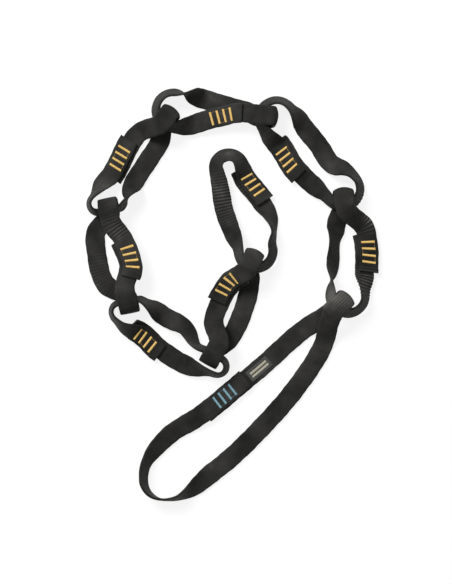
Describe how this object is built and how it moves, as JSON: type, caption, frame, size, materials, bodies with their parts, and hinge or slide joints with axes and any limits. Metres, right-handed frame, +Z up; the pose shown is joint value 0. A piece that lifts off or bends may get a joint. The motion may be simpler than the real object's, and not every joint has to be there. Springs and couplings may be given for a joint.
{
  "type": "climbing daisy chain",
  "caption": "Climbing daisy chain: a long sewn webbing loop and a coil of short ones, each linked through the next and closed by a bar tack.",
  "frame": {"origin": "middle of the coiled chain's box, on the surface that it lies on", "axes": "+Z up off the surface, +Y from the long loop's free end towards the coil's top, as the picture is seen from above"},
  "size_m": [0.24, 0.3378, 0.022],
  "materials": {
    "black_webbing": "matte woven black webbing",
    "yellow_thread": "golden yellow zigzag stitching",
    "blue_thread": "pale blue zigzag stitching",
    "label_cloth": "bare dark woven label",
    "label_thread": "pale sewing thread"
  },
  "bodies": {
    "loop_1": {"webbing_loop_1": "black_webbing", "bar_tack_1_face": "blue_thread", "bar_tack_1_back": "blue_thread", "label": "label_cloth", "label_seam": "label_thread"},
    "loop_2": {"webbing_loop_2": "black_webbing", "bar_tack_2_face": "yellow_thread", "bar_tack_2_back": "yellow_thread"},
    "loop_3": {"webbing_loop_3": "black_webbing", "bar_tack_3_face": "yellow_thread", "bar_tack_3_back": "yellow_thread"},
    "loop_4": {"webbing_loop_4": "black_webbing", "bar_tack_4_face": "yellow_thread", "bar_tack_4_back": "yellow_thread"},
    "loop_5": {"webbing_loop_5": "black_webbing", "bar_tack_5_face": "yellow_thread", "bar_tack_5_back": "yellow_thread"},
    "loop_6": {"webbing_loop_6": "black_webbing", "bar_tack_6_face": "yellow_thread", "bar_tack_6_back": "yellow_thread"},
    "loop_7": {"webbing_loop_7": "black_webbing", "bar_tack_7_face": "yellow_thread", "bar_tack_7_back": "yellow_thread"},
    "loop_8": {"webbing_loop_8": "black_webbing", "bar_tack_8_face": "yellow_thread", "bar_tack_8_back": "yellow_thread"},
    "loop_9": {"webbing_loop_9": "black_webbing", "bar_tack_9_face": "yellow_thread", "bar_tack_9_back": "yellow_thread"}
  },
  "joints": [
    {"name": "link_1_swivel", "type": "hinge", "parent": "loop_1", "child": "loop_2", "pos_m": [0.09458, -0.00058, 0.0103], "axis": [0, 0, -1], "range_deg": [0, 75]},
    {"name": "link_2_swivel", "type": "hinge", "parent": "loop_2", "child": "loop_3", "pos_m": [0.09033, 0.08646, 0.0103], "axis": [0, 0, -1], "range_deg": [0, 75]},
    {"name": "link_3_swivel", "type": "hinge", "parent": "loop_3", "child": "loop_4", "pos_m": [0.03646, 0.14463, 0.0103], "axis": [0, 0, -1], "range_deg": [0, 75]},
    {"name": "link_4_swivel", "type": "hinge", "parent": "loop_4", "child": "loop_5", "pos_m": [-0.04772, 0.15096, 0.0103], "axis": [0, 0, -1], "range_deg": [0, 75]},
    {"name": "link_5_fold", "type": "hinge", "parent": "loop_5", "child": "loop_6", "pos_m": [-0.09969, 0.06909, 0.0103], "axis": [-0.9796, -0.2011, 0], "range_deg": [0, 60]},
    {"name": "link_6_fold", "type": "hinge", "parent": "loop_6", "child": "loop_7", "pos_m": [-0.08451, -0.00485, 0.0103], "axis": [-0.9796, -0.2011, 0], "range_deg": [0, 60]},
    {"name": "link_7_fold", "type": "hinge", "parent": "loop_7", "child": "loop_8", "pos_m": [-0.01529, -0.04789, 0.0103], "axis": [0.8738, -0.4863, 0], "range_deg": [0, 45]},
    {"name": "link_8_swivel", "type": "hinge", "parent": "loop_8", "child": "loop_9", "pos_m": [0.01944, 0.03603, 0.0103], "axis": [0, 0, -1], "range_deg": [-50, 10]}
  ]
}
